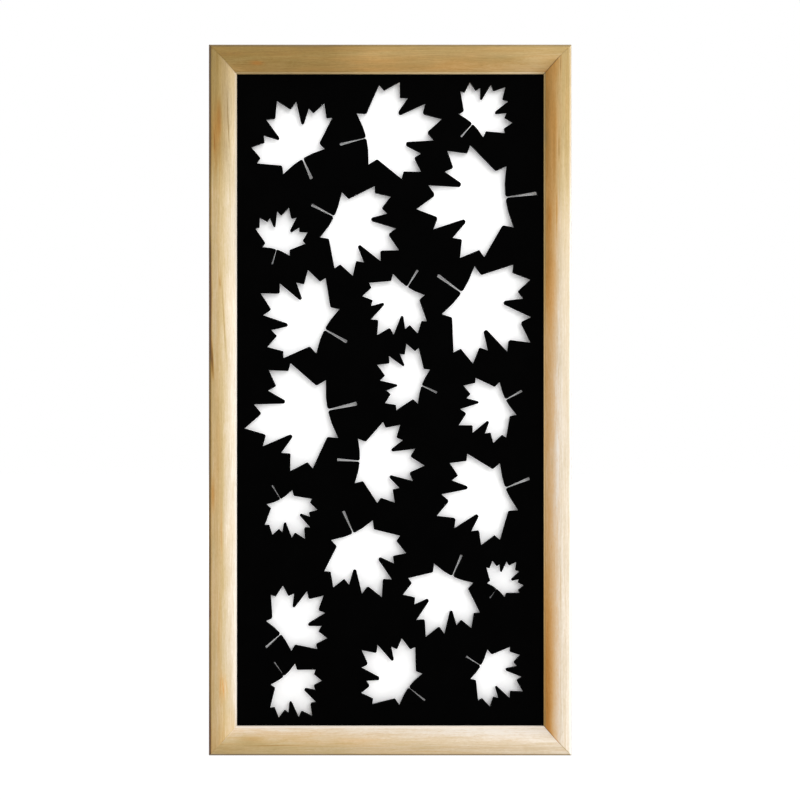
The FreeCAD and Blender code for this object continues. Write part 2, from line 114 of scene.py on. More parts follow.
class MouldingSizes(bpy.types.PropertyGroup):
    """The section of the frame's members and the pockets in their backs."""

    band_width: size("Band", "Outer bevelled band, from the outer edge to the ridge", 21.7)
    band_drop: size("Band drop", "How far the band's outer edge lies behind the ridge", 3.0)
    arris: size("Arris", "Rounding of the outer front edge", 3.5)
    ridge: size("Ridge", "Soft rounding of the ridge", 22.0)
    slope_width: size("Slope width", "Crowned slope, from the ridge towards the sight edge", 21.8)
    slope_drop: size("Slope drop", "How far the slope's foot lies behind the ridge", 16.8)
    slope_radius: size("Slope radius", "Crown of the slope", 64.0)
    step: size("Step", "Square step under the slope", 1.2)
    flat: size("Flat", "Narrow flat along the sight edge", 3.0)
    lip: size("Lip", "Wood in front of the sheet at the sight edge", 4.0)
    lap: size("Lap", "How far the rabbet reaches behind the sight edge", 12.0)
    edge: size("Edge", "Sanded rounding of the small edges", 0.4)
    mitre_ease: size("Mitre ease", "Eased edge where two members meet", 0.3)
    mitre_gap: size("Mitre gap", "Glue line between two members", 0.12)
    pocket_room: size("Pocket room", "Room round a hanger's plate in its pocket", 0.15)
    well_width: size("Well width", "Width of the well in front of a keyhole", 12.4)
    well_length: size("Well length", "Length of the well in front of a keyhole", 25.4)
    well_rise: size("Well rise", "Middle of the well above its plate's middle", 0.5)
    well_depth: size("Well depth", "Depth of the well in front of a plate", 9.0)
    overrun: size("Overrun", "How far cutting shapes run past the wood", 3.0)


class WoodColours(bpy.types.PropertyGroup):
    """The tones of the frame's wood: cool with a little green, warm with orange, and greyer tones for
    pale grain, painted sheen and painted shade.
    """

    cool_dark: colour("Cool dark", "Dark line in the cool wood", 92, 68, 34)
    cool_brown: colour("Cool brown", "Brown of the cool wood", 143, 115, 51)
    cool_ochre: colour("Cool ochre", "Ochre of the cool wood", 180, 151, 92)
    cool_tan: colour("Cool tan", "Usual tone of the cool wood", 203, 178, 128)
    cool_pale: colour("Cool pale", "Pale cool wood", 222, 202, 169)
    warm_dark: colour("Warm dark", "Dark line in the warm wood", 98, 56, 24)
    warm_brown: colour("Warm brown", "Brown of the heartwood", 182, 122, 40)
    warm_orange: colour("Warm orange", "Orange of the heartwood", 208, 142, 58)
    warm_tan: colour("Warm tan", "Usual tone of the warm wood", 226, 172, 102)
    warm_pale: colour("Warm pale", "Pale warm wood", 238, 202, 156)
    cream: colour("Cream", "Palest sapwood", 249, 238, 224)
    # These greyer tones take the pale grain lines. They also paint the sheen on the left stile's inner
    # slope, the highlight on the right arris and the shade along the bottom edge.
    grain_sheen_and_shade_brown: colour("Bleached brown", "Brown of the bleached wood", 130, 114, 90)
    grain_sheen_and_shade_ochre: colour("Bleached ochre", "Ochre of the bleached wood", 168, 150, 120)
    grain_sheen_and_shade_tan: colour("Bleached tan", "Usual tone of the bleached wood", 201, 184, 152)
    grain_sheen_and_shade_pale: colour("Bleached pale", "Pale bleached wood", 220, 210, 195)
    grain_sheen_and_shade_cream: colour("Bleached cream", "Palest bleached wood", 246, 240, 232)
    # Painted shade: a grey for the right stile's outer rim, where its side turns away from the light.
    painted_rim_shade: colour("Worn", "Grey of a worn rim", 168, 165, 160)


class WoodGrain(bpy.types.PropertyGroup):
    """Where the rings' pith lies, and how strongly each pattern shows in the frame's wood."""

    pith_outside: size("Pith outside", "From a board's outer edge out to its pith", 30.0)
    pith_behind: size("Pith behind", "From the ridge back to the pith", 95.0)
    waver: size("Waver", "How far the rings waver along a board", 9.0)
    line_tone: amount("Line tone", "How much the growth lines change the tone", 0.26)
    fibre_tone: amount("Fibre tone", "How much the fibres change the tone", 0.34)
    fleck_tone: amount("Fleck tone", "How much the flecks change the tone", 0.15)
    cloud_tone: amount("Cloud tone", "How much the soft clouds change the tone", 0.12)
    pore_tone: amount("Pore tone", "How much the pores darken the wood", 0.12)
    line_warmth: amount("Line warmth", "How much cooler the pale growth lines are", 0.5)
    cloud_warmth: amount("Cloud warmth", "How much warmer the pale clouds are", 0.5)
    fibre_warmth: amount("Fibre warmth", "How much cooler the pale fibres are", 0.2)


class FinishColours(bpy.types.PropertyGroup):
    """What the lacquer and each kind of fixing send back, at their darkest and their lightest."""

    lacquer_dark: reflectance("Lacquer dark", "Darkest black of the sheet", 0.0003, 0.0003, 0.0003)
    lacquer_light: reflectance("Lacquer light", "Lightest black of the sheet", 0.0009, 0.0009, 0.0009)
    plate_dark: reflectance("Plate dark", "Darkest steel of the hangers", 0.24, 0.25, 0.26)
    plate_light: reflectance("Plate light", "Lightest steel of the hangers", 0.44, 0.45, 0.47)
    screw_dark: reflectance("Screw dark", "Darkest plating of the screws", 0.34, 0.28, 0.16)
    screw_light: reflectance("Screw light", "Lightest plating of the screws", 0.55, 0.48, 0.32)
    brad_dark: reflectance("Brad dark", "Darkest steel of the brads", 0.2, 0.19, 0.18)
    brad_light: reflectance("Brad light", "Lightest steel of the brads", 0.4, 0.39, 0.37)


class StudioLight(bpy.types.PropertyGroup):
    """The camera's place, how bright each light is on a surface that faces it, and the stage's whites."""

    distance: size("Camera distance", "From the camera to the frame's ridge", 1600.0)
    view_width: size("View width", "What the picture takes in at the ridge, side to side", 1397.8)
    shift: amount("Shift", "Sideways shift of the picture that frames the screen", 0.0122)
    ambient: amount("Ambient", "Even light from all round", 0.50)
    key: amount("Key", "Soft light from the upper right front", 0.30)
    side: amount("Side", "Light from the right", 0.88)
    top: amount("Top", "Light from above", 0.15)
    back: amount("Back", "Soft light from behind", 0.45)
    floor_reach: size("Floor reach", "From the middle of the floor to its edges", 6000.0)
    floor_fade: size("Floor fade", "Where the floor starts to turn from its shade to plain white", 800.0)
    floor_plain: size("Floor plain", "Where the floor has turned plain white", 2400.0)
    floor_white: amount("Floor white", "White of the floor close to the screen, as it is seen", 0.93)
    floor_shown: amount("Floor shown", "How much the seen floor takes of light and shadow", 0.13)
    floor_bounce: amount("Floor bounce", "How much light the floor throws back on the screen", 0.8)
    card_gap: size("Card gap", "From the sheet's back to the white card that the openings show", 9.4)
    card_white: amount("Card white", "How much light the card sends back", 1.25)
    card_glow: amount("Card glow", "Light that the card gives by itself", 0.12)


# Shader expressions

class Value:
    """A socket that stands in sums, each of which adds a Math node."""

    def __init__(self, shader, socket):
        self.shader = shader
        self.socket = socket

    def combine(self, operation, first, second):
        """A Math node's result."""
        return self.shader.node("Math", {"operation": operation}, first, second)

    def __add__(self, other):
        return self.combine("ADD", self, other)

    __radd__ = __add__

    def __sub__(self, other):
        return self.combine("SUBTRACT", self, other)

    def __rsub__(self, other):
        return self.combine("SUBTRACT", other, self)

    def __mul__(self, other):
        return self.combine("MULTIPLY", self, other)

    __rmul__ = __mul__

    def __truediv__(self, other):
        return self.combine("DIVIDE", self, other)

    def __abs__(self):
        return self.shader.node("Math", {"operation": "ABSOLUTE"}, self)

    def above(self, start, end):
        """0 up to the start, a smooth step, and 1 from the end on."""
        smooth = {"interpolation_type": "SMOOTHSTEP"}
        return self.shader.node("MapRange", smooth, self, start, end, 0.0, 1.0)

    def near(self, middle, reach):
        """1 at the middle and 0 from the reach on, either way."""
        return 1 - abs((self - middle) / reach).above(0.0, 1.0)


class Shader:
    """A node tree in the making, whose nodes come from expressions."""

    def __init__(self, tree):
        self.tree = tree

    def feed(self, socket, value):
        """Links a value to a socket, or sets the socket to a number or a colour."""
        if isinstance(value, Value):
            self.tree.links.new(value.socket, socket)
        elif socket.type == "RGBA":
            socket.default_value = (*value, 1.0)
        else:
            socket.default_value = value

    def node(self, kind, settings, *values, output=0, **named):
        """A node of a type: its settings first, then the values or links of its sockets."""
        made = self.tree.nodes.new("ShaderNode" + kind)
        for key, value in settings.items():
            if key == "stops":
                for extra in value[2:]:
                    made.color_ramp.elements.new(extra[0])
                for element, (position, tint) in zip(made.color_ramp.elements, value):
                    element.position = position
                    element.color = (*tint, 1.0)
            else:
                setattr(made, key, value)
        shown = [socket for socket in made.inputs if socket.enabled]
        for socket, value in zip(shown, values):
            self.feed(socket, value)
        for name, value in named.items():
            self.feed(made.inputs[name], value)
        if isinstance(output, str):
            return Value(self, made.outputs[output])
        given = [socket for socket in made.outputs if socket.enabled]
        return Value(self, given[output])

    def place(self):
        """The point on the object in millimetres: x, y and z as three values."""
        point = self.node("TexCoord", {}, output="Object")
        parts = self.node("SeparateXYZ", {}, point).socket.node
        return [Value(self, socket) * (1 / MM) for socket in parts.outputs]

    def vector(self, x, y, z):
        """A vector of three values or numbers."""
        return self.node("CombineXYZ", {}, x, y, z)

    def noise(self, vector, detail=2.0, roughness=0.5):
        """Noise about zero, with one swell to each unit of the vector."""
        noise = self.node("TexNoise", {}, Vector=vector, Scale=1.0, Detail=detail, Roughness=roughness)
        return noise - 0.5

    def mix(self, share, first, second):
        """A colour that goes from the first to the second as the share goes from 0 to 1."""
        return self.node("Mix", {"data_type": "RGBA"}, share, first, second)

    def ramp(self, value, *stops):
        """A colour read from stops of a position and a colour."""
        return self.node("ValToRGB", {"stops": stops}, value)

    def bump(self, height, distance):
        """A normal from a height, where 1 stands for the distance in millimetres."""
        return self.node("Bump", {}, Height=height, Distance=distance * MM, Strength=1.0)

    def seen_directly(self):
        """1 for rays from the camera and for what gloss and glass show, and 0 for all other light."""
        rays = ("Is Camera Ray", "Is Glossy Ray", "Is Transmission Ray")
        camera, glossy, through = [self.node("LightPath", {}, output=ray) for ray in rays]
        return (camera + glossy + through).above(0.0, 1.0)


class Material(Shader):
    """A material in the making, whose surface is the Principled shader."""

    def __init__(self, name):
        self.material = bpy.data.materials.new(name)
        self.material.use_nodes = True
        super().__init__(self.material.node_tree)

    def finish(self, **sockets):
        """Feeds the Principled shader, with underscores in the sockets' names, and gives the material."""
        surface = self.tree.nodes["Principled BSDF"]
        for name, value in sockets.items():
            self.feed(surface.inputs[name.replace("_", " ")], value)
        return self.material


# Meshes

def link_piece(name, mesh):
    """Puts a mesh into the scene as a smooth piece, whose sharp edges are kept."""
    mesh.polygons.foreach_set("use_smooth", np.ones(len(mesh.polygons), bool))
    mesh.set_sharp_from_angle(angle=math.radians(SHARP_TURN))
    piece = bpy.data.objects.new(name, mesh)
    bpy.context.scene.collection.objects.link(piece)
    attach(piece, BODY)
    return piece


def loft(name, rings):
    """A closed shell through rings of equal counts, with a face across each end.

    Each ring runs anticlockwise as seen from the last one, so the faces point outwards.
    """
    rings = np.asarray(rings)
    steps, count = rings.shape[:2]
    start = np.arange(steps - 1)[:, None] * count
    here = np.arange(count)[None]
    after = (here + 1) % count
    sides = np.stack([start + here, start + after, start + count + after, start + count + here], -1)
    faces = sides.reshape(-1, 4).tolist()
    faces.append(here[0, ::-1].tolist())
    faces.append((here[0] + (steps - 1) * count).tolist())
    mesh = bpy.data.meshes.new(name)
    mesh.from_pydata(rings.reshape(-1, 3).tolist(), [], faces)
    return mesh


def eased(corners, radii):
    """A closed outline with rounded corners.

    A corner's circle has its centre on the bisector, a radius over the sine of half the angle away,
    and touches both sides a radius over the tangent of half the angle away. Its arc is the chord
    between the two touching points, thrown out to the circle.
    """
    corners = np.asarray(corners, float)
    radii = np.asarray(radii, float)[:, None]
    back = np.roll(corners, 1, axis=0) - corners
    ahead = np.roll(corners, -1, axis=0) - corners
    back /= np.linalg.norm(back, axis=1, keepdims=True)
    ahead /= np.linalg.norm(ahead, axis=1, keepdims=True)
    half = np.arccos(np.sum(back * ahead, axis=1, keepdims=True)) / 2
    bisector = back + ahead
    bisector /= np.linalg.norm(bisector, axis=1, keepdims=True)
    centre = corners + bisector * radii / np.sin(half)
    share = np.linspace(0, 1, CORNER_STEPS)[None, :, None]
    reach = (radii / np.tan(half))[:, None]
    touching = corners[:, None] + reach * (back[:, None] * (1 - share) + ahead[:, None] * share)
    arm = touching - centre[:, None]
    arm *= radii[:, None] / np.linalg.norm(arm, axis=2, keepdims=True)
    return (centre[:, None] + arm).reshape(-1, 2)


def arc(centre, radius, first, last, steps):
    """Points on a circle, from one angle to another."""
    angles = np.linspace(first, last, steps)
    return centre + radius * np.column_stack([np.cos(angles), np.sin(angles)])


def angle_of(arm):
    """The angle of an arm from its circle's centre."""
    return math.atan2(arm[1], arm[0])


def section(sizes):
    """The moulding's outline as points of inward and depth, anticlockwise.

    The slope is an arc through the ridge line and the slope's foot. The ridge's rounding touches
    the band and the slope: its centre lies its own radius behind the band, and as far from the
    slope's centre as the slope's radius less its own. The corners after the slope are eased.
    """
    foot = sizes.band_width + sizes.slope_width
    ridge = np.array([sizes.band_width, 0.0])
    foot_point = np.array([foot, sizes.slope_drop])
    chord = foot_point - ridge
    left = np.array([-chord[1], chord[0]]) / np.linalg.norm(chord)
    half = np.linalg.norm(chord) / 2
    centre = (ridge + foot_point) / 2 + left * math.sqrt(sizes.slope_radius ** 2 - half ** 2)

    band = np.array([sizes.band_width, -sizes.band_drop])
    band /= np.linalg.norm(band)
    behind = np.array([-band[1], band[0]])
    arm = ridge + behind * sizes.ridge - centre
    run = -arm @ band
    reach = math.sqrt(run ** 2 - arm @ arm + (sizes.slope_radius - sizes.ridge) ** 2)
    middle = ridge + behind * sizes.ridge + band * (run + reach if run < 0 else run - reach)
    meeting = angle_of(middle - centre)
    crest = arc(middle, sizes.ridge, angle_of(-behind), meeting, RIDGE_STEPS)
    slope = arc(centre, sizes.slope_radius, meeting, angle_of(foot_point - centre), SLOPE_STEPS)

    width = foot + sizes.flat
    under = sizes.slope_drop + sizes.step
    corners = [
        foot_point,
        (foot, under),
        (width, under),
        (width, under + sizes.lip),
        (width - sizes.lap, under + sizes.lip),
        (width - sizes.lap, DEPTH),
        (0.0, DEPTH),
        (0.0, sizes.band_drop),
        ridge,
    ]
    radii = [sizes.edge] + [sizes.edge / 2] + [sizes.edge] * 5 + [sizes.arris, sizes.edge]
    rounded = eased(corners, radii)[CORNER_STEPS:-CORNER_STEPS]
    return np.concatenate([crest[:-1], slope, rounded])


def inward_normals(outline):
    """Unit vectors square to a closed anticlockwise outline, pointing into it."""
    ahead = np.roll(outline, -1, axis=0) - np.roll(outline, 1, axis=0)
    normals = np.column_stack([-ahead[:, 1], ahead[:, 0]])
    return normals / np.linalg.norm(normals, axis=1, keepdims=True)


class Side:
    """One side of the frame: which way is inward, and where its outer edge's middle is."""

    def __init__(self, name, member, inward):
        self.name = name
        self.member = member
        self.inward = Vector(inward)
        self.along = self.inward.cross(-FRONT)
        reach = (HIGH - LOW) / 2
        self.half = abs(self.along.dot(reach))
        self.origin = MIDDLE - self.inward * abs(self.inward.dot(reach)) + FRONT * reach.y

    def points(self, inward, depth, along):
        """Points in the screen from distances inward, behind the ridge and along the side."""
        axes = [np.array(axis)[None] for axis in (self.inward, -FRONT, self.along)]
        parts = [np.asarray(part)[..., None] * axis for part, axis in zip((inward, depth, along), axes)]
        return np.array(self.origin) + sum(parts)

    def values(self, shader):
        """The same three distances as shader values, in millimetres."""
        place = shader.place()
        result = []
        for axis in (self.inward, -FRONT, self.along):
            index = max(range(3), key=lambda number: abs(axis[number]))
            result.append((place[index] - self.origin[index] / MM) * axis[index])
        return result


SIDES = [
    Side("left", "left_stile", (1, 0, 0)),
    Side("right", "right_stile", (-1, 0, 0)),
    Side("top", "top_rail", (0, 0, -1)),
    Side("bottom", "bottom_rail", (0, 0, 1)),
]


def member_mesh(side, sizes):
    """A mitred member: its section carried along the side.

    A point of the section ends where the distance along is half the side less its distance inward,
    less half the glue line. Before each end the section is full, and at the end it is drawn in by
    the eased edge, square to its outline.
    """
    outline = section(sizes)
    drawn = outline + inward_normals(outline) * sizes.mitre_ease
    end = side.half - sizes.mitre_gap / 2
    rings = []
    for ring, sign, short in ((drawn, -1, 0), (outline, -1, 1), (outline, 1, 1), (drawn, 1, 0)):
        along = sign * (end - ring[:, 0] - short * sizes.mitre_ease)
        rings.append(side.points(ring[:, 0], ring[:, 1], along))
    return loft(side.member, rings)


def stadium_cutter(name, x, z, width, length, start, end):
    """A bar with half-round ends along the height.

    Its outline is two half circles, whose centres are as far apart as the length less the width.
    """
    angles = np.radians(np.arange(0, 360, ROUND_TURN))
    across = np.cos(angles) * width / 2
    up = np.sin(angles) * width / 2 + np.where(angles < math.pi, 1, -1) * (length - width) / 2
    rings = [np.column_stack([x + across, np.full(len(angles), y), z + up]) for y in (end, start)]
    return bpy.data.objects.new(name, loft(name, rings))


def cut(mesh, cutters):
    """The mesh less the cutters, by exact booleans."""
    whole = bpy.data.objects.new(mesh.name + "_whole", mesh)
    for thing in [whole, *cutters]:
        bpy.context.scene.collection.objects.link(thing)
    for cutter in cutters:
        modifier = whole.modifiers.new(cutter.name, "BOOLEAN")
        modifier.object = cutter
        modifier.solver = "EXACT"
    depsgraph = bpy.context.evaluated_depsgraph_get()
    result = bpy.data.meshes.new_from_object(whole.evaluated_get(depsgraph))
    for thing in [whole, *cutters]:
        bpy.data.objects.remove(thing)
    return result


def hanger_cutters(side, sizes):
    """The pocket of a hanger's plate and the well in front of its keyhole."""
    low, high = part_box(side.name + "_hanger")
    middle = (low + high) / 2
    span = high - low
    room = sizes.pocket_room * 2
    back = HIGH.y + sizes.overrun
    pocket = stadium_cutter("pocket", middle.x, middle.z, span.x + room, span.z + room, low.y, back)
    well_z = middle.z + sizes.well_rise
    well_front = low.y - sizes.well_depth
    well = stadium_cutter("well", middle.x, well_z, sizes.well_width, sizes.well_length, well_front, back)
    return [pocket, well]


# Wood

class Mark:
    """A streak, patch or line in the wood.

    Its middle lies across in millimetres and along as a share of the board, and it reaches so far
    both ways. It leans across by a distance over its reach along, and adds to the tone and warmth.
    """

    def __init__(self, across, along_share, reach, long_share, lean=0.0, tone=0.0, warmth=0.0):
        self.across = across
        self.along_share = along_share
        self.reach = reach
        self.long_share = long_share
        self.lean = lean
        self.tone = tone
        self.warmth = warmth


class Figure:
    """How one board looks.

    The outer and inner runs are stops along the board, each a share of its length, a tone and a
    warmth. Going inward, the tone turns from the outer run to the inner one between two distances,
    and the warmth between two others; on the stiles this turn is partly sapwood and heartwood and
    partly painted light and shade on the inner slopes. The band, the arris, the flat at the sight
    edge and the wood beside the mitres each add a tone and a warmth; on the arris that is painted
    shade, but a painted highlight on the right stile's. The arris fades out between two distances,
    the mitre's line starts that much further out at the board's end, the rim is mixed by a share
    towards a grey of painted shade, and the outer face adds a tone of painted shade.
    """

    def __init__(self, seed, outer, inner, marks, tone_turn, warmth_turn, band, arris, sight, mitre,
                 arris_turn=(3.0, 6.0), mitre_run=0.0, rim=0.0, outside=-0.14):
        self.seed = seed
        self.outer = outer
        self.inner = inner
        self.marks = marks
        self.tone_turn = tone_turn
        self.warmth_turn = warmth_turn
        self.band = band
        self.arris = arris
        self.sight = sight
        self.mitre = mitre
        self.arris_turn = arris_turn
        self.mitre_run = mitre_run
        self.rim = rim
        self.outside = outside


def wood_colours(shader, tone, warmth):
    """The wood's colour at a tone from 0 to 1: cool at warmth 0, warm at 1, and greyer at -1, for pale
    grain, painted sheen and painted shade.
    """
    wood = bpy.context.scene.wood_colours
    cool = shader.ramp(tone, (0.0, wood.cool_dark), (0.27, wood.cool_brown), (0.5, wood.cool_ochre),
                       (0.66, wood.cool_tan), (0.83, wood.cool_pale), (1.0, wood.cream))
    warm = shader.ramp(tone, (0.0, wood.warm_dark), (0.38, wood.warm_brown), (0.5, wood.warm_orange),
                       (0.66, wood.warm_tan), (0.83, wood.warm_pale), (1.0, wood.cream))
    # Greyer wood for pale grain, for painted sheen and highlights, and for painted shade along the bottom
    # edge.
    grain_sheen_and_shade = shader.ramp(tone, (0.27, wood.grain_sheen_and_shade_brown), (0.5, wood.grain_sheen_and_shade_ochre),
                           (0.66, wood.grain_sheen_and_shade_tan), (0.83, wood.grain_sheen_and_shade_pale),
                           (1.0, wood.grain_sheen_and_shade_cream))
    return shader.mix(0 - warmth, shader.mix(warmth, cool, warm), grain_sheen_and_shade)


def run_along(shader, share, stops):
    """Tone from 0 to 1 and warmth from -1 to 1 along a board, read from the red and green of a ramp."""
    tints = [(position, (tone, (warmth + 1) / 2, 0.0)) for position, tone, warmth in stops]
    parts = shader.node("SeparateColor", {}, shader.ramp(share, *tints)).socket.node
    return [Value(shader, parts.outputs["Red"]), Value(shader, parts.outputs["Green"]) * 2 - 1]


def board_noise(shader, place, across, along, shift, detail=2.0, roughness=0.5):
    """Noise in a board, with so many swells to a millimetre across its section and along it."""
    inward, depth, run = place
    swells = shader.vector(inward * across, depth * across, run * along + shift)
    return shader.noise(swells, detail, roughness)


def board_patterns(shader, place, seed):
    """The patterns in a board: the rings' waver, growth lines, fibres, cloud, pores and flecks.

    The rings are circles round a pith outside the board, which waver slowly along it. Growth lines
    are noise of the distance from the pith, drawn out far along the board. Fibres, flecks and pores
    are noise that is drawn out less, and the cloud is soft noise.
    """
    grain = bpy.context.scene.wood_grain
    across, depth, along = place
    waver = board_noise(shader, place, across=0.02, along=0.005, shift=seed) * (grain.waver / MM)
    arm = shader.vector(across + grain.pith_outside / MM, depth - grain.pith_behind / MM, 0.0)
    ring = shader.node("VectorMath", {"operation": "LENGTH"}, arm, output="Value") + waver
    lines = shader.noise(shader.vector(ring * 0.6, along * 0.003, seed), detail=5.0, roughness=0.65)
    fibres = board_noise(shader, place, across=0.8, along=0.02, shift=seed, detail=5.0, roughness=0.7)
    cloud = board_noise(shader, place, across=0.06, along=0.012, shift=-seed, detail=3.0)
    pores = board_noise(shader, place, across=1.0, along=0.12, shift=seed).above(0.1, 0.3)
    flecks = board_noise(shader, place, across=0.5, along=0.15, shift=-seed, detail=3.0, roughness=0.6)
    return waver, lines, fibres, cloud, pores, flecks


def board_zones(place, length, share, figure):
    """The band, arris, sight flat and mitres of a board.

    Each is a mask that turns between two distances in millimetres, with the tone and the warmth
    that it adds.
    """
    sizes = bpy.context.scene.moulding_sizes
    across, depth, along = place
    ridge = sizes.band_width / MM
    foot = ridge + sizes.slope_width / MM
    drop = sizes.slope_drop / MM
    band = (1 - across.above(ridge - 7.7, ridge + 0.3)) * (1 - depth.above(10.0, 14.0))
    # The arris's tone paints shade on the outer edges of the left stile and the rails, and a highlight on
    # the right stile's.
    arris = (1 - across.above(*figure.arris_turn)) * (1 - depth.above(6.0, 9.0))
    sight = across.above(foot - 0.3, foot + 0.3) * depth.above(drop - 0.8, drop + 0.2)
    from_mitre = length / 2 - across - abs(along)
    # Beside the mitres the right stile has a dark glue line, and the bottom rail a painted highlight.
    mitre = (1 - from_mitre.above(0.3, 2.0)) * (across + share * figure.mitre_run).above(18.0, 26.0)
    return [(band, figure.band), (arris, figure.arris), (sight, figure.sight), (mitre, figure.mitre)]


def member_wood(side, figure):
    """Oiled wood of one member of the frame.

    The tone and the warmth start from the figure's runs along the board. The patterns, the marks and
    the zones add to them, and each mark is broken up by the growth lines and the fibres.
    """
    shader = Material(side.member)
    grain = bpy.context.scene.wood_grain
    place = side.values(shader)
    across, depth, along = place
    waver, lines, fibres, cloud, pores, flecks = board_patterns(shader, place, figure.seed)

    length = side.half / MM * 2
    share = (along + length / 2) / length + cloud * 0.03
    inward = across + waver * 0.4 + cloud * 6 + fibres * 6
    outer_tone, outer_warmth = run_along(shader, share, figure.outer)
    inner_tone, inner_warmth = run_along(shader, share, figure.inner)
    tone = outer_tone + (inner_tone - outer_tone) * inward.above(*figure.tone_turn)
    warmth = outer_warmth + (inner_warmth - outer_warmth) * inward.above(*figure.warmth_turn)
    tone = tone + lines * grain.line_tone + fibres * grain.fibre_tone + flecks * grain.fleck_tone
    tone = tone + cloud * grain.cloud_tone - pores * grain.pore_tone
    warmth = warmth - lines * grain.line_warmth + cloud * grain.cloud_warmth - fibres * grain.fibre_warmth

    broken = 1 + lines * 2 + fibres * 3
    for mark in figure.marks:
        run = (share - mark.along_share) / mark.long_share
        drift = across + waver * 0.3 - run * mark.lean
        here = drift.near(mark.across, mark.reach) * run.near(0.0, 1.0) * broken
        tone = tone + here * mark.tone
        warmth = warmth + here * mark.warmth
    for zone, (more_tone, more_warmth) in board_zones(place, length, share, figure):
        tone = tone + zone * more_tone
        warmth = warmth + zone * more_warmth

    back = DEPTH / MM
    # Painted shade: the outer face takes a darker tone, most on the right stile, which faces the light
    # from the right.
    outside = (1 - across.above(0.4, 1.2)) * depth.above(5.0, 8.0)
    raw = depth.above(back - 1.2, back - 0.4)
    # Painted shade: the front rim is mixed by the figure's share towards a grey, on the right stile
    # alone.
    rim = (1 - across.above(1.2, 2.2)) * (1 - depth.above(6.0, 9.0)) * figure.rim
    colours = wood_colours(shader, tone + outside * figure.outside + raw * 0.05, warmth)
    return shader.finish(
        Base_Color=shader.mix(rim, colours, bpy.context.scene.wood_colours.painted_rim_shade),
        Roughness=0.46 + fibres * 0.16 + raw * 0.2,
        Specular_IOR_Level=0.35,
        Coat_Weight=0.12,
        Coat_Roughness=0.35,
        Normal=shader.bump(lines * 0.5 + fibres - pores * 0.8, distance=0.12),
    )


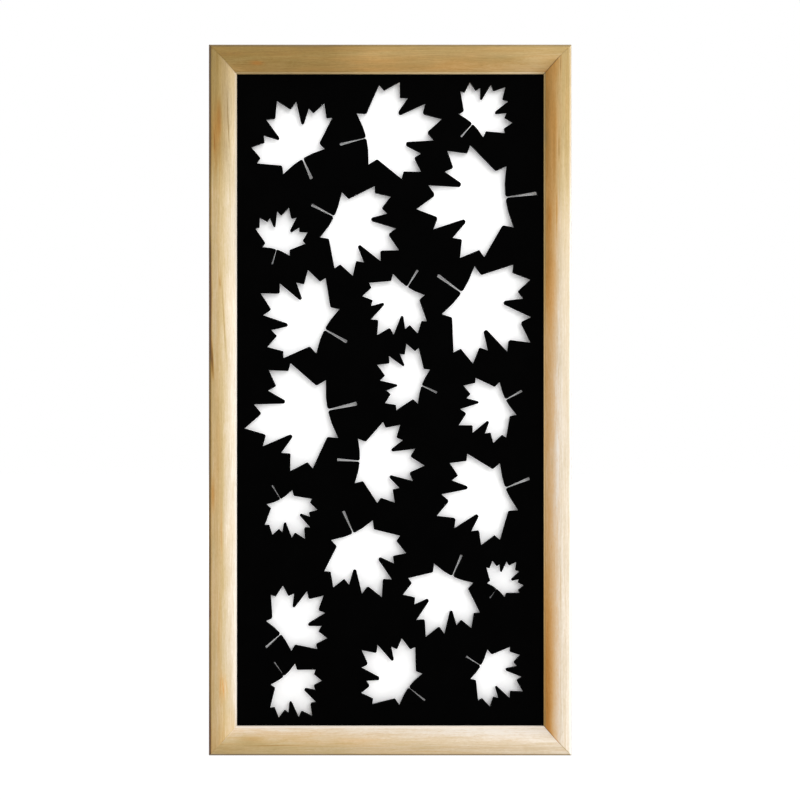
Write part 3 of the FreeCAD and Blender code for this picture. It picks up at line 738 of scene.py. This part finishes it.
FIGURES = {
    "left": Figure(
        seed=3.1, tone_turn=(21, 46), warmth_turn=(17, 33),
        # Painted shade on the arris, which faces away from the light, and a little on the outer face.
        band=(0.02, 0.0), arris=(-0.55, 0.0), sight=(0.1, -0.3), mitre=(0.0, 0.0), outside=-0.04,
        outer=[(0.0, 0.59, 0.35), (0.05, 0.66, 0.25), (0.25, 0.66, 0.2), (0.45, 0.62, 0.2),
               (0.62, 0.68, 0.15), (0.79, 0.65, 0.1), (0.86, 0.41, 0.2), (0.95, 0.39, 0.0),
               (1.0, 0.33, 0.0)],
        # The inner run is partly pale sapwood and partly painted light and sheen on the slope that faces
        # the right.
        inner=[(0.0, 0.72, 0.2), (0.08, 0.92, -0.1), (0.19, 0.94, -0.2), (0.33, 0.9, -0.3),
               (0.47, 0.88, -0.5), (0.64, 0.84, -0.4), (0.75, 0.76, -0.7), (0.87, 0.70, -0.6),
               (0.92, 0.65, -0.6), (0.96, 0.63, -0.4), (1.0, 0.58, -0.4)],
        marks=[
            Mark(15, 0.885, 13, 0.047, tone=-0.04, warmth=0.3),
            Mark(19.5, 0.9, 6, 0.034, lean=-1, tone=-0.12, warmth=0.4),
            Mark(33.5, 0.893, 1.6, 0.05, lean=-2.4, tone=-0.34, warmth=0.4),
            Mark(36, 0.79, 1.2, 0.07, lean=-1, tone=-0.14, warmth=0.1),
            Mark(10.5, 0.865, 1.8, 0.024, lean=-1, tone=-0.16, warmth=0.5),
            Mark(27, 0.61, 2.2, 0.1, lean=-7, tone=-0.2, warmth=0.2),
            Mark(20, 0.665, 2.6, 0.014, lean=-1, tone=-0.22, warmth=0.2),
            Mark(3.2, 0.645, 3.2, 0.1, tone=-0.85, warmth=0.4),
            Mark(6.4, 0.558, 3.6, 0.045, lean=-2.8, tone=-0.6, warmth=0.5),
            Mark(8, 0.37, 5, 0.035, tone=-0.16, warmth=0.4),
            Mark(23, 0.317, 2.5, 0.06, tone=-0.06, warmth=0.35),
            Mark(18, 0.17, 3, 0.08, tone=-0.05, warmth=0.15),
            Mark(1.8, 0.035, 3.2, 0.06, tone=-0.3, warmth=0.5),
            Mark(2, 0.2, 2.5, 0.012, tone=-0.15, warmth=1.0),
            Mark(26, 0.1, 9, 0.03, tone=-0.04, warmth=0.4),
            Mark(21, 0.1, 1.2, 0.028, lean=2, tone=-0.1, warmth=0.5),
            Mark(26, 0.095, 1.0, 0.026, lean=-2, tone=-0.12, warmth=0.5),
            Mark(31, 0.1, 1.0, 0.024, lean=-3, tone=-0.1, warmth=0.4),
        ],
    ),
    "right": Figure(
        seed=11.7, tone_turn=(24, 42), warmth_turn=(16, 31),
        # A painted highlight on the arris. Painted shade on the band, the grey rim and the outer face,
        # which face the light from the right. The mitre's dark line is the glue line.
        band=(-0.05, -0.15), arris=(0.2, -0.4), sight=(-0.1, -0.7), mitre=(-0.42, 0.0),
        mitre_run=17, rim=0.7, outside=-0.27,
        outer=[(0.0, 0.49, 0.1), (0.06, 0.54, 0.15), (0.14, 0.59, 0.1), (0.24, 0.76, -0.1),
               (0.35, 0.85, -0.2), (0.55, 0.89, -0.3), (0.67, 0.90, -0.15), (0.81, 0.92, -0.15),
               (0.92, 0.94, -0.1), (1.0, 0.93, 0.0)],
        # The inner run is partly orange heartwood and partly painted shade on the slope that faces left.
        inner=[(0.0, 0.43, 0.65), (0.08, 0.35, 0.65), (0.2, 0.47, 0.6), (0.3, 0.49, 0.7),
               (0.42, 0.67, 0.85), (0.55, 0.72, 0.9), (0.72, 0.70, 0.95), (0.87, 0.53, 1.0),
               (1.0, 0.45, 1.0)],
        marks=[
            Mark(24, 0.55, 9, 0.4, tone=0.04),
            Mark(25, 0.88, 8, 0.32, tone=-0.04, warmth=0.7),
            Mark(20.6, 0.03, 1.2, 0.024, tone=-0.24, warmth=0.1),
            Mark(30, 0.16, 5, 0.13, tone=-0.1),
            Mark(26.5, 0.235, 1.6, 0.05, lean=0.5, tone=-0.24, warmth=0.3),
            Mark(43, 0.13, 5, 0.02, tone=-0.06, warmth=-0.4),
            Mark(23, 0.145, 1.4, 0.025, tone=-0.22, warmth=0.2),
            Mark(22, 0.2, 1.6, 0.05, tone=-0.05, warmth=0.2),
            Mark(38, 0.243, 5, 0.03, tone=-0.08, warmth=0.2),
            Mark(34, 0.594, 3, 0.02, tone=-0.04, warmth=-0.3),
            Mark(38, 0.666, 5, 0.035, tone=-0.03, warmth=0.3),
            Mark(19.6, 0.765, 1.0, 0.05, tone=-0.25, warmth=0.2),
            Mark(19.6, 0.9, 0.9, 0.1, tone=-0.18, warmth=0.1),
            Mark(15, 0.9, 0.8, 0.1, tone=-0.06),
            Mark(10, 0.88, 0.8, 0.12, tone=-0.06),
        ],
    ),
    "top": Figure(
        seed=23.4, tone_turn=(18, 46), warmth_turn=(18, 46),
        # Painted shade on the arris along the top edge, and on the outer face.
        band=(0.0, 0.0), arris=(-0.15, -0.4), sight=(0.05, -0.6), mitre=(0.0, 0.0),
        outer=[(0.0, 0.28, 0.1), (0.34, 0.28, 0.1), (0.45, 0.43, 0.15), (0.75, 0.42, 0.1),
               (0.92, 0.52, 0.1), (1.0, 0.5, 0.0)],
        inner=[(0.0, 0.39, 0.3), (0.32, 0.36, 0.25), (0.45, 0.5, 0.4), (0.75, 0.57, 0.35),
               (0.9, 0.66, 0.35), (1.0, 0.45, 0.6)],
        marks=[
            Mark(32, 0.127, 5, 0.03, tone=0.0, warmth=0.8),
            Mark(45, 0.96, 4, 0.08, tone=-0.2),
            Mark(12, 0.5, 2, 0.2, tone=0.03, warmth=0.1),
        ],
    ),
    "bottom": Figure(
        seed=37.9, tone_turn=(18, 46), warmth_turn=(18, 46),
        # Painted shade, grey-brown, on the arris along the bottom edge and on the outer face. A painted
        # highlight beside the mitres.
        band=(0.0, 0.0), arris=(-0.56, -1.0), sight=(0.12, -0.3), mitre=(0.12, -0.2),
        arris_turn=(1.8, 4.6),
        outer=[(0.0, 0.88, 0.1), (0.12, 0.86, 0.15), (0.45, 0.78, 0.2), (0.75, 0.68, 0.1),
               (1.0, 0.56, 0.0)],
        inner=[(0.0, 0.98, 0.2), (0.3, 0.95, 0.35), (0.45, 0.95, 0.45), (0.75, 0.91, 0.5),
               (0.92, 0.92, 0.45), (1.0, 0.8, 0.5)],
        marks=[
            Mark(29, 0.88, 8, 0.06, tone=-0.12, warmth=0.1),
            Mark(18.9, 0.82, 1.0, 0.13, tone=-0.2, warmth=0.2),
            Mark(27, 0.6, 6, 0.1, tone=-0.04, warmth=0.2),
        ],
    ),
}


def strip_wood(node, seed, drawn):
    """Unfinished pine of a strip or a dowel.

    Its rings and fibres are noise, drawn out along an axis by as much as the axis has of x, y and z.
    """
    shader = Material(node)
    x, y, z = [part * (1 - 0.985 * abs(share)) for part, share in zip(shader.place(), drawn)]
    ring = shader.noise(shader.vector(x * 0.25, y * 0.1 + seed, z * 0.25), detail=3.0, roughness=0.6)
    fibres = shader.noise(shader.vector(x * 2.2, y * 2.2 + seed, z * 2.2), detail=3.0)
    return shader.finish(
        Base_Color=wood_colours(shader, 0.84 + ring * 0.5 + fibres * 0.14, 0.5 + ring * 1.2),
        Roughness=0.68 + fibres * 0.2,
        Specular_IOR_Level=0.3,
        Normal=shader.bump(fibres + ring * 0.4, distance=0.15),
    )


# Lacquer and steel

def even_noise(shader, rate):
    """Noise with as many swells to a millimetre along x, y and z."""
    x, y, z = shader.place()
    return shader.noise(shader.vector(x * rate, y * rate, z * rate), detail=3.0)


def black_finish():
    """Matt black lacquer: nearly no light back, with a fine orange-peel and a faint cloud."""
    shader = Material("black_sheet")
    colours = bpy.context.scene.finish_colours
    peel = even_noise(shader, 0.9)
    cloud = even_noise(shader, 0.02)
    shade = (peel * 0.3 + cloud + 0.5).above(0.0, 1.0)
    return shader.finish(
        Base_Color=shader.mix(shade, colours.lacquer_dark, colours.lacquer_light),
        Roughness=0.72 + peel * 0.2 + cloud * 0.1,
        Specular_IOR_Level=0.01,
        Normal=shader.bump(peel, distance=0.05),
    )


def steel(name, dark, light, rough, grain):
    """Bare or plated steel.

    It has a soft blotch and a brushed grain, with so many swells to a millimetre along the height.
    """
    shader = Material(name)
    x, y, z = shader.place()
    blotch = even_noise(shader, 0.3)
    brushed = shader.noise(shader.vector(x * 4.0, y * 4.0, z * grain))
    shade = (0.5 + blotch + brushed * 0.5).above(0.0, 1.0)
    return shader.finish(
        Base_Color=shader.mix(shade, dark, light),
        Metallic=1.0,
        Roughness=rough + blotch * 0.25 + brushed * 0.1,
        Normal=shader.bump(brushed, distance=0.02),
    )


def dress(node, material):
    """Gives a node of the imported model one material."""
    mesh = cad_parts[node].data
    mesh.materials.clear()
    mesh.materials.append(material)


# Stage

WHITE = (1, 1, 1)


def grey(level):
    """A grey of one level in red, green and blue."""
    return (level, level, level)


def stage_plane(name, points):
    """A flat backdrop through four points, which face the viewer anticlockwise."""
    mesh = bpy.data.meshes.new(name)
    mesh.from_pydata(points, [], [(0, 1, 2, 3)])
    plane = bpy.data.objects.new(name, mesh)
    bpy.context.scene.collection.objects.link(plane)
    return plane


def add_light(name, direction, distance, width, strength):
    """A square light that shines at the screen's middle.

    Its power is the strength times pi squared times the distance squared, so that a white surface at
    the middle that faces the light is as bright as the strength.
    """
    data = bpy.data.lights.new(name, "AREA")
    data.size = width
    data.energy = strength * (math.pi * distance) ** 2
    lamp = bpy.data.objects.new(name, data)
    away = Vector(direction).normalized()
    lamp.location = MIDDLE + away * distance
    lamp.rotation_euler = away.to_track_quat("Z", "Y").to_euler()
    bpy.context.scene.collection.objects.link(lamp)


def make_camera(light):
    """A camera straight in front of the screen's middle, whose lens takes in the view's width."""
    data = bpy.data.cameras.new("camera")
    data.lens = data.sensor_width * light.distance / light.view_width
    data.shift_x = light.shift
    camera = bpy.data.objects.new("camera", data)
    camera.location = (MIDDLE.x, LOW.y - light.distance, MIDDLE.z)
    camera.rotation_euler = (math.radians(90), 0, 0)
    bpy.context.scene.collection.objects.link(camera)
    bpy.context.scene.camera = camera


def make_world(light):
    """Even white light, which shows as plain white."""
    world = bpy.data.worlds.new("studio")
    world.use_nodes = True
    bpy.context.scene.world = world
    shader = Shader(world.node_tree)
    background = shader.tree.nodes["Background"]
    strength = light.ambient + shader.seen_directly() * (1 - light.ambient)
    shader.feed(background.inputs["Color"], WHITE)
    shader.feed(background.inputs["Strength"], strength)


def make_floor(light):
    """A pale floor, white to the camera but for the object's faint shadow."""
    corners = [(-1, -1), (1, -1), (1, 1), (-1, 1)]
    floor = stage_plane("floor", [(x * light.floor_reach, y * light.floor_reach, 0) for x, y in corners])
    shader = Material("floor")
    seen = shader.seen_directly()
    x, y, z = shader.place()
    away = shader.node("VectorMath", {"operation": "LENGTH"}, shader.vector(x, y, 0.0), output="Value")
    plain = away.above(light.floor_fade / MM, light.floor_plain / MM)
    floor.data.materials.append(shader.finish(
        Base_Color=shader.mix(seen, grey(light.floor_bounce), grey(light.floor_shown)),
        Roughness=1.0,
        Specular_IOR_Level=0.0,
        Emission_Color=shader.mix(seen, grey(0), shader.mix(plain, grey(light.floor_white), WHITE)),
        Emission_Strength=1.0,
    ))


def make_card(light):
    """A white card between the strips, shown from the front alone, which takes the sheet's shadow."""
    left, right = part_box("left_stop")[1].x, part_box("right_stop")[0].x
    bottom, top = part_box("bottom_stop")[1].z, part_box("top_stop")[0].z
    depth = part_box("leaf_panel")[1].y + light.card_gap
    corners = [(left, bottom), (right, bottom), (right, top), (left, top)]
    card = stage_plane("card", [(x, depth, z) for x, z in corners])
    shader = Material("card")
    camera_ray = shader.node("LightPath", {}, output="Is Camera Ray")
    behind = shader.node("NewGeometry", {}, output="Backfacing")
    card.data.materials.append(shader.finish(
        Base_Color=grey(light.card_white),
        Roughness=1.0,
        Specular_IOR_Level=0.0,
        Alpha=camera_ray * (1 - behind),
        Emission_Color=WHITE,
        Emission_Strength=light.card_glow,
    ))


# Operators

class LEAFSCREEN_OT_members(bpy.types.Operator):
    """Builds the four mitred members of the frame"""

    bl_idname = "leaf_screen.members"
    bl_label = "Frame members"

    def execute(self, context):
        sizes = context.scene.moulding_sizes
        for side in SIDES:
            mesh = member_mesh(side, sizes)
            if side.name in ("left", "right"):
                mesh = cut(mesh, hanger_cutters(side, sizes))
            mesh.materials.clear()
            mesh.materials.append(member_wood(side, FIGURES[side.name]))
            piece = link_piece(side.member + "_moulding", mesh)
            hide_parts(side.member)
        return {"FINISHED"}


class LEAFSCREEN_OT_sheet(bpy.types.Operator):
    """Finishes the pierced sheet in matt black"""

    bl_idname = "leaf_screen.sheet"
    bl_label = "Black sheet"

    def execute(self, context):
        dress("leaf_panel", black_finish())
        return {"FINISHED"}


class LEAFSCREEN_OT_fixings(bpy.types.Operator):
    """Finishes the strips, dowels, brads, hangers and screws"""

    bl_idname = "leaf_screen.fixings"
    bl_label = "Strips and fixings"

    def execute(self, context):
        colours = context.scene.finish_colours
        for number, side in enumerate(SIDES):
            strip = side.name + "_stop"
            dress(strip, strip_wood(strip, seed=number * 5.0, drawn=side.along))
            brads = side.name + "_stop_brads"
            dress(brads, steel(brads, colours.brad_dark, colours.brad_light, rough=0.4, grain=4))
        for number, corner in enumerate(("top_left", "top_right", "bottom_left", "bottom_right")):
            dowels = corner + "_dowels"
            dress(dowels, strip_wood(dowels, seed=40 + number * 3.0, drawn=(0, 0, 0)))
        for plate in ("left_hanger", "right_hanger"):
            dress(plate, steel(plate, colours.plate_dark, colours.plate_light, rough=0.36, grain=0.3))
            screws = plate + "_screws"
            dress(screws, steel(screws, colours.screw_dark, colours.screw_light, rough=0.3, grain=2))
        return {"FINISHED"}


class LEAFSCREEN_OT_stage(bpy.types.Operator):
    """Sets the camera, the lights, the pale floor and the white card that the openings show"""

    bl_idname = "leaf_screen.stage"
    bl_label = "Studio"

    def execute(self, context):
        light = context.scene.studio_light
        make_camera(light)
        add_light("key", direction=(0.34, -1, 0.34), distance=4.0, width=2.2, strength=light.key)
        add_light("side", direction=(1, -0.12, 0.1), distance=5.0, width=2.6, strength=light.side)
        add_light("top", direction=(0.1, -0.35, 1), distance=4.0, width=2.4, strength=light.top)
        add_light("back", direction=(-0.4, 1, 0.5), distance=4.0, width=3.0, strength=light.back)
        make_world(light)
        make_floor(light)
        make_card(light)
        context.scene.view_settings.view_transform = "Standard"
        return {"FINISHED"}


# Panel and registration

class LEAFSCREEN_PT_panel(bpy.types.Panel):
    """The screen's operators and sizes in the 3D view's sidebar"""

    bl_idname = "LEAFSCREEN_PT_panel"
    bl_label = "Leaf screen"
    bl_space_type = "VIEW_3D"
    bl_region_type = "UI"
    bl_category = "Leaf screen"

    def draw(self, context):
        for operator in OPERATORS:
            self.layout.operator(operator.bl_idname)
        for key in GROUPS:
            group = getattr(context.scene, key)
            box = self.layout.box()
            for name in group.__annotations__:
                box.prop(group, name)


GROUPS = {
    "moulding_sizes": MouldingSizes,
    "wood_colours": WoodColours,
    "wood_grain": WoodGrain,
    "finish_colours": FinishColours,
    "studio_light": StudioLight,
}
OPERATORS = [LEAFSCREEN_OT_members, LEAFSCREEN_OT_sheet, LEAFSCREEN_OT_fixings, LEAFSCREEN_OT_stage]
CLASSES = [*GROUPS.values(), *OPERATORS, LEAFSCREEN_PT_panel]


def register():
    for cls in CLASSES:
        bpy.utils.register_class(cls)
    for key, group in GROUPS.items():
        setattr(bpy.types.Scene, key, PointerProperty(type=group))


def unregister():
    for key in GROUPS:
        delattr(bpy.types.Scene, key)
    for cls in reversed(CLASSES):
        bpy.utils.unregister_class(cls)


def main():
    register()
    bpy.ops.leaf_screen.members()
    bpy.ops.leaf_screen.sheet()
    bpy.ops.leaf_screen.fixings()
    bpy.ops.leaf_screen.stage()


if __name__ == "__main__":
    main()
